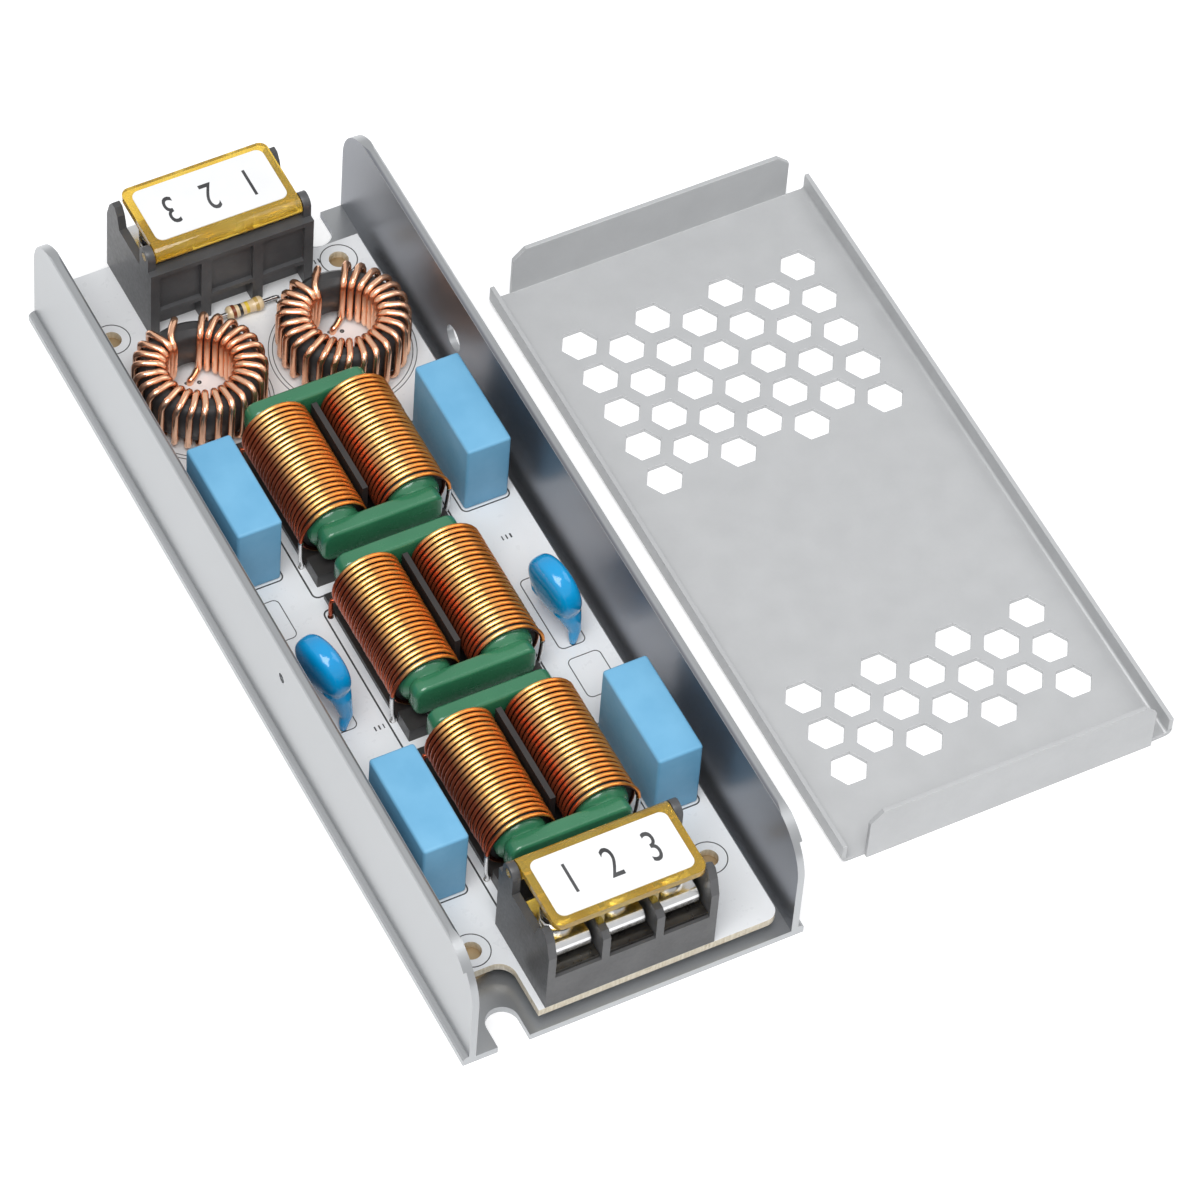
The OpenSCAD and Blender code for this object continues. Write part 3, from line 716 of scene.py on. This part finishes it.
def disc_capacitor(hand):
    """Dipped disc that leans to the left, its coating drawn down onto the leads."""
    node = f"disc_capacitor_{hand}"
    lo, hi = box_mm(node)
    cx, cy, _ = middle(lo, hi)
    cz = hi.z - DISC_RADIUS - DISC_DROP[hand]
    board = box_of("circuit_board")[1].z / MM
    lean = math.radians(DISC_LEAN)
    twist = math.radians(DISC_TWIST[hand])

    def place(x, y, z):
        """A point of the upright disc, twisted and then leant over from the board."""
        up = z + cz - board
        across = x * math.cos(twist) - y * math.sin(twist)
        along = y * math.cos(twist) + x * math.sin(twist)
        return Vector((
            cx + across * math.cos(lean) + up * math.sin(lean) * 0.9,
            cy + along,
            board + up * math.cos(lean) - across * math.sin(lean),
        ))

    profile = []
    rows = 14
    for i in range(rows + 1):
        a = math.pi * i / rows
        along = -DISC_HALF * math.copysign(abs(math.cos(a)) ** 0.62, math.cos(a))
        profile.append((along, max(DISC_RADIUS * math.sin(a) ** 0.55, 0.02)))
    disc = revolved(profile, 40, place)
    skirts = []
    for e in (-1, 1):
        skirts.append([
            Vector((cx, cy + e * LEAD_SPREAD, board - 0.05)),
            Vector((cx, cy + e * LEAD_SPREAD, board + 1.5)),
            place(0, e * 4.7, board + 3 - cz),
            place(0, e * 4.0, -DISC_RADIUS + 1.2),
            place(0, e * 3.0, -DISC_RADIUS + 3.0),
        ])
    coating = joined(disc, swept(skirts, [0.6, 0.85, 1.15, 1.8, 2.5], 14))
    o = new_object(f"disc_body_{hand}", mesh_of(coating), "disc_blue")
    blend = o.modifiers.new("blend", "REMESH")
    blend.mode = "VOXEL"
    blend.voxel_size = 0.00022
    blend.use_smooth_shade = True
    soft = o.modifiers.new("soft", "SMOOTH")
    soft.factor = 0.6
    soft.iterations = 9
    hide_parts(node)
    heights = (lo.z, PIN_MIDDLE, board + 0.9)
    wires = [[Vector((cx, cy + e * LEAD_SPREAD, z)) for z in heights] for e in (-1, 1)]
    pins = new_object(f"disc_wires_{hand}", mesh_of(swept(wires, PIN_WIRE)), "tin")
    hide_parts(node)


# place along the resistor's body and radius there, as parts of its length and radius
RESISTOR_SHAPE = (
    (0, 0.05), (0, 0.5), (0.01, 0.78), (0.05, 0.95), (0.11, 1), (0.2, 0.97), (0.26, 0.86),
    (0.34, 0.82), (0.66, 0.82), (0.74, 0.86), (0.8, 0.97), (0.89, 1), (0.95, 0.95),
    (0.99, 0.78), (1, 0.5), (1, 0.05),
)


def resistor():
    """Axial resistor: a body with thick ends, and leads bent down through the board."""
    lo, hi = box_mm("resistor_body")
    _, cy, cz = middle(lo, hi)
    r = (hi.z - lo.z) / 2
    length = hi.x - lo.x
    profile = [(lo.x + a * length, b * r) for a, b in RESISTOR_SHAPE]
    body = revolved(profile, 28, lambda x, y, z: Vector((x, cy + y, cz + z)))
    o = new_object("resistor_lacquered_body", mesh_of(body), "beige_lacquer")
    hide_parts("resistor_body")
    leads_lo, leads_hi = box_mm("resistor_leads")
    ends = ((lo.x + 0.2, leads_lo.x + 0.4, -1), (hi.x - 0.2, leads_hi.x - 0.4, 1))
    paths = []
    for x_in, x_out, s in ends:
        paths.append(smooth_path([
            Vector((x_in, cy, cz)),
            Vector((x_in + s * 1.2, cy, cz)),
            Vector((x_out - s * 0.8, cy, cz)),
            Vector((x_out - s * 0.1, cy, cz - 0.35)),
            Vector((x_out, cy, cz - 1.3)),
            Vector((x_out, cy, leads_lo.z)),
        ], 5))
    o = new_object("resistor_wires", mesh_of(swept(paths, 0.38, 10)), "tin")
    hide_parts("resistor_leads")


# terminals
POLE_PITCH = 9.5
CLAMP_HALF = 3.4  # half the width of a clamp plate
CLAMP_SHEET = 0.8
LIP_BEND = 1.5  # outer radius of the bend


def clamp_plates(side):
    """Three bent wire clamps with a rounded lip turned down at the wire side."""
    lo, hi = box_mm(f"{side}_clamps")
    s = -1 if side == "output" else 1
    front, back = (lo.y, hi.y) if s < 0 else (hi.y, lo.y)
    mid = middle(lo, hi)[0]
    top = hi.z - 0.1
    # the upper side of a plate from back to front, as (y, z from the top)
    line = [(back, 0)]
    for j in range(9):
        a = math.radians(10 * j)
        y = front - s * 0.7 + s * LIP_BEND * math.sin(a)
        line.append((y, -LIP_BEND * (1 - math.cos(a))))
    line.append((front + s * 0.85, -2.3))
    n = len(line)
    plates = []
    for p in (-1, 0, 1):
        x = mid + p * POLE_PITCH
        verts = []
        for i, (y, z) in enumerate(line):
            ahead = line[min(i + 1, n - 1)]
            behind = line[max(i - 1, 0)]
            t = Vector((ahead[0] - behind[0], ahead[1] - behind[1])).normalized()
            inward = Vector((-t.y * s, t.x * s))
            if inward.y > 0:
                inward = -inward
            under_y = y + inward.x * CLAMP_SHEET
            under_z = top + z + inward.y * CLAMP_SHEET
            for dx in (-CLAMP_HALF, CLAMP_HALF):
                verts.append(Vector((x + dx, y, top + z)) * MM)
            for dx in (CLAMP_HALF, -CLAMP_HALF):
                verts.append(Vector((x + dx, under_y, under_z)) * MM)
        plates.append((verts, skin(n, 4)))
    mesh = mesh_of(joined(*plates))
    bm = bmesh.new()
    bm.from_mesh(mesh)
    bmesh.ops.recalc_face_normals(bm, faces=bm.faces[:])
    bm.to_mesh(mesh)
    bm.free()
    o = new_object(f"{side}_clamp_plates", mesh, "tin", smooth=False)
    bevel(o, 0.15, 50)
    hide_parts(f"{side}_clamps")


# printing
def ribbon(points, width, z0, z1, closed=True):
    """Flat printed line with a little thickness. Points are (x, y) in mm."""
    n = len(points)
    verts = []
    for i, (x, y) in enumerate(points):
        before = points[i - 1 if closed else max(i - 1, 0)]
        after = points[(i + 1) % n if closed else min(i + 1, n - 1)]
        t = Vector((after[0] - before[0], after[1] - before[1])).normalized()
        nx = -t.y * width / 2
        ny = t.x * width / 2
        for e, z in ((1, z0), (-1, z0), (-1, z1), (1, z1)):
            verts.append(Vector((x + e * nx, y + e * ny, z)) * MM)
    return verts, skin(n, 4, closed=closed)


def circle(x, y, r, sides):
    """Points round a circle in mm."""
    turns = [2 * math.pi * k / sides for k in range(sides)]
    return [(x + r * math.cos(a), y + r * math.sin(a)) for a in turns]


def outline(x0, y0, x1, y1):
    """A printed outline with 1 mm corners."""
    return rounded(x0, y0, x1, y1, 1.0, 6)


# small marks in place of printed words: x and y of the first and how many there are along X
MARKS = ((-13.0, 71.2, 4), (15.6, 70.2, 4), (-3.4, 71.0, 3),
         (6.0, 70.4, 3), (-16.0, -21.5, 3), (19.8, 4.5, 3))
MARK_STEP = 0.75
MARK_HALF = 0.45  # half a mark's length
# dots inside each ring choke's outline: offset from its middle and size
RING_DOTS = ((-0.5, 4.3, 0.3), (1.6, 3.6, 0.4), (-1.6, 2.2, 0.22))


def board_print():
    """The board's printed outlines and marks, with no words."""
    lo, hi = box_mm("circuit_board")
    z0 = hi.z - 0.02
    z1 = hi.z + 0.03
    mid = (lo.y + hi.y) / 2
    lines = []
    for number in (1, 2, 3):
        cx, cy, _ = middle(*box_mm(f"choke_{number}_core"))
        lines.append((outline(cx - 13.9, cy - 18.35, cx + 13.9, cy + 12.85), 0.3))
    for number in (1, 2, 3, 4):
        f_lo, f_hi = box_mm(f"film_capacitor_{number}")
        m = 0.4
        lines.append((outline(f_lo.x - m, f_lo.y - m, f_hi.x + m, f_hi.y + m), 0.25))
    for hand in ("left", "right"):
        cx, cy, _ = middle(*box_mm(f"ring_core_{hand}"))
        lines.append((circle(cx, cy, 11.75, 72), 0.14))
        lines.append((circle(cx, cy, 12.45, 72), 0.14))
        for x, y, r in RING_DOTS:
            lines.append((circle(cx + x, cy + y, r * 0.6, 10), r * 0.8))
    for s in (-1, 1):
        lines.append((outline(s * 20.6 - 2.4, -19.9, s * 20.6 + 2.4, -4.6), 0.18))
        for e in (-1, 1):
            lines.append((circle(s * 21.05, mid + e * 67.8, 3.15, 48), 0.18))
    lines.append((outline(18.1, -30.5, 23.9, -22.2), 0.16))
    lines.append((outline(-24.4, 0.5, -19.2, 8.7), 0.16))
    shapes = [ribbon(points, width, z0, z1) for points, width in lines]
    rand = random.Random(5)
    for x, y, count in MARKS:
        for i in range(count):
            px = x + MARK_STEP * i
            stroke = [(px, y - MARK_HALF), (px, y + MARK_HALF)]
            shapes.append(ribbon(stroke, rand.uniform(0.18, 0.32), z0, z1, closed=False))
    mesh = mesh_of(joined(*shapes))
    new_object("board_print", mesh, "black_plastic", "ink", smooth=False)


FIGURE_SIZE = 8.4
FIGURE_STEP = 7.2  # from figure to figure
FIGURE_WIDTH = 0.62  # the figures are narrower than the font's


def label_print(side):
    """Plain pole numbers on the lid's label."""
    lo, hi = box_of(f"{side}_label")
    centre = (lo + hi) / 2
    turn = Matrix.Rotation(math.pi if side == "input" else 0, 4, "Z")
    verts = []
    faces = []
    for i, figure in enumerate("123"):
        curve = bpy.data.curves.new("figure", "FONT")
        curve.body = figure
        curve.size = FIGURE_SIZE * MM
        curve.align_x = "CENTER"
        curve.align_y = "CENTER"
        curve.extrude = 0.02 * MM
        curve.resolution_u = 4
        temp = bpy.data.objects.new("figure", curve)
        bpy.context.scene.collection.objects.link(temp)
        bpy.context.view_layer.update()
        mesh = temp.to_mesh()
        offset = Vector(((i - 1) * FIGURE_STEP * MM, 0, 0))
        base = len(verts)
        for v in mesh.vertices:
            q = turn @ (Vector((v.co.x * FIGURE_WIDTH, v.co.y, v.co.z)) + offset)
            verts.append(Vector((centre.x + q.x, centre.y + q.y, hi.z + q.z)))
        faces += [tuple(base + j for j in p.vertices) for p in mesh.polygons]
        temp.to_mesh_clear()
        bpy.data.objects.remove(temp)
        bpy.data.curves.remove(curve)
    figures = mesh_of((verts, faces))
    new_object(f"{side}_label_figures", figures, "black_plastic", "ink",
               body=f"{side}_lid", smooth=False)


WALL_INSIDE = 29.15  # from the middle line to the inner face of a wall
RAIL_HEIGHT = 3.2
SHADOW_LINE_REACH = 79.0  # from the middle to each end of a painted shadow line
BOX_FACES = [(0, 1, 3, 2), (4, 6, 7, 5), (0, 4, 5, 1), (2, 3, 7, 6), (0, 2, 6, 4), (1, 5, 7, 3)]


def rail_shadow_lines():
    """Painted shadow: a dark line below the thick rail at the top of each wall."""
    z = box_mm("tray")[1].z - RAIL_HEIGHT
    shadow_lines = []
    for s in (-1, 1):
        x = s * WALL_INSIDE
        xs = sorted((x - s * 0.2, x + s * 0.08))
        verts = [Vector((px, py, pz)) * MM for px in xs for py in (-SHADOW_LINE_REACH, SHADOW_LINE_REACH)
                 for pz in (z - 0.35, z + 0.02)]
        shadow_lines.append((verts, BOX_FACES))
    mesh = mesh_of(joined(*shadow_lines))
    new_object("rail_shadow_lines", mesh, "black_plastic", "ink", smooth=False)


# stage
FLOOR_GLOW = 0.34  # lifts the floor towards white where it is seen


def stage():
    """A matt floor that glows a little where it is seen straight or in a reflection."""
    g = Graph("floor")
    tone = g.mix(g.span(g.noise(60, 2), 0, 1), (0.82, 0.82, 0.82), (0.84, 0.84, 0.84))
    g.link(tone, g.shader.inputs["Base Color"])
    g.shader.inputs["Roughness"].default_value = 0.9
    rays = g.node("LightPath").outputs
    glow = g.node("Emission")
    glow.inputs["Color"].default_value = (1, 1, 1, 1)
    seen = g.calc("MAXIMUM", rays["Is Camera Ray"], rays["Is Glossy Ray"])
    g.link(g.calc("MULTIPLY", seen, FLOOR_GLOW), glow.inputs["Strength"])
    both = g.node("AddShader")
    g.link(g.shader.outputs[0], both.inputs[0])
    g.link(glow.outputs[0], both.inputs[1])
    g.link(both.outputs[0], g.tree.nodes["Material Output"].inputs["Surface"])
    bm = bmesh.new()
    bmesh.ops.create_grid(bm, x_segments=1, y_segments=1, size=4)
    mesh = bpy.data.meshes.new("floor")
    bm.to_mesh(mesh)
    bm.free()
    floor = bpy.data.objects.new("floor", mesh)
    mesh.materials.append(g.mat)
    floor.location.z = -0.0001
    bpy.context.scene.collection.objects.link(floor)


SKY_STRENGTH = 0.4
SKY_IN_GLOSS = 0.55  # how much of the white backdrop a reflection takes


def world():
    """A dim sky for light, and a white backdrop for the eye and through clear plastic."""
    w = bpy.data.worlds.new("studio")
    w.use_nodes = True
    bpy.context.scene.world = w
    g = Nodes(w.node_tree)
    sky = g.tree.nodes["Background"]
    sky.inputs["Color"].default_value = (0.93, 0.96, 1.0, 1)
    sky.inputs["Strength"].default_value = SKY_STRENGTH
    white = g.node("Background")
    white.inputs["Color"].default_value = (1, 1, 1, 1)
    white.inputs["Strength"].default_value = 1.0
    rays = g.node("LightPath").outputs
    seen = g.calc("MAXIMUM", rays["Is Camera Ray"], rays["Is Transmission Ray"])
    gloss = g.calc("MULTIPLY", rays["Is Glossy Ray"], SKY_IN_GLOSS)
    mix = g.node("MixShader")
    g.link(g.calc("MAXIMUM", seen, gloss), mix.inputs["Fac"])
    g.link(sky.outputs[0], mix.inputs[1])
    g.link(white.outputs[0], mix.inputs[2])
    g.link(mix.outputs[0], g.tree.nodes["World Output"].inputs["Surface"])


LAMP_TARGET = (0.03, 0, 0)
LAMP_SIZE = 0.8


def lamp(name, place, power):
    """A square area lamp that points at the filter and its cover."""
    data = bpy.data.lights.new(name, "AREA")
    data.shape = "RECTANGLE"
    data.size = LAMP_SIZE
    data.size_y = LAMP_SIZE
    data.energy = power
    o = bpy.data.objects.new(name, data)
    o.location = place
    aim = Vector(LAMP_TARGET) - Vector(place)
    o.rotation_euler = aim.to_track_quat("-Z", "Y").to_euler()
    bpy.context.scene.collection.objects.link(o)


camera()
dress_nodes()
for number in (1, 2, 3):
    choke_core(number)
    for hand in ("left", "right"):
        choke_coil(number, hand)
for hand in ("left", "right"):
    ring_winding(hand)
    disc_capacitor(hand)
for number in (1, 2, 3, 4):
    film_capacitor(number)
resistor()
board_print()
rail_shadow_lines()
for side in ("output", "input"):
    clamp_plates(side)
    label_print(side)
stage()
world()
lamp("key", (-0.30, -0.40, 1.10), 13)
lamp("fill", (0.9, -0.2, 1.0), 3)
bpy.context.scene.view_settings.view_transform = "Standard"
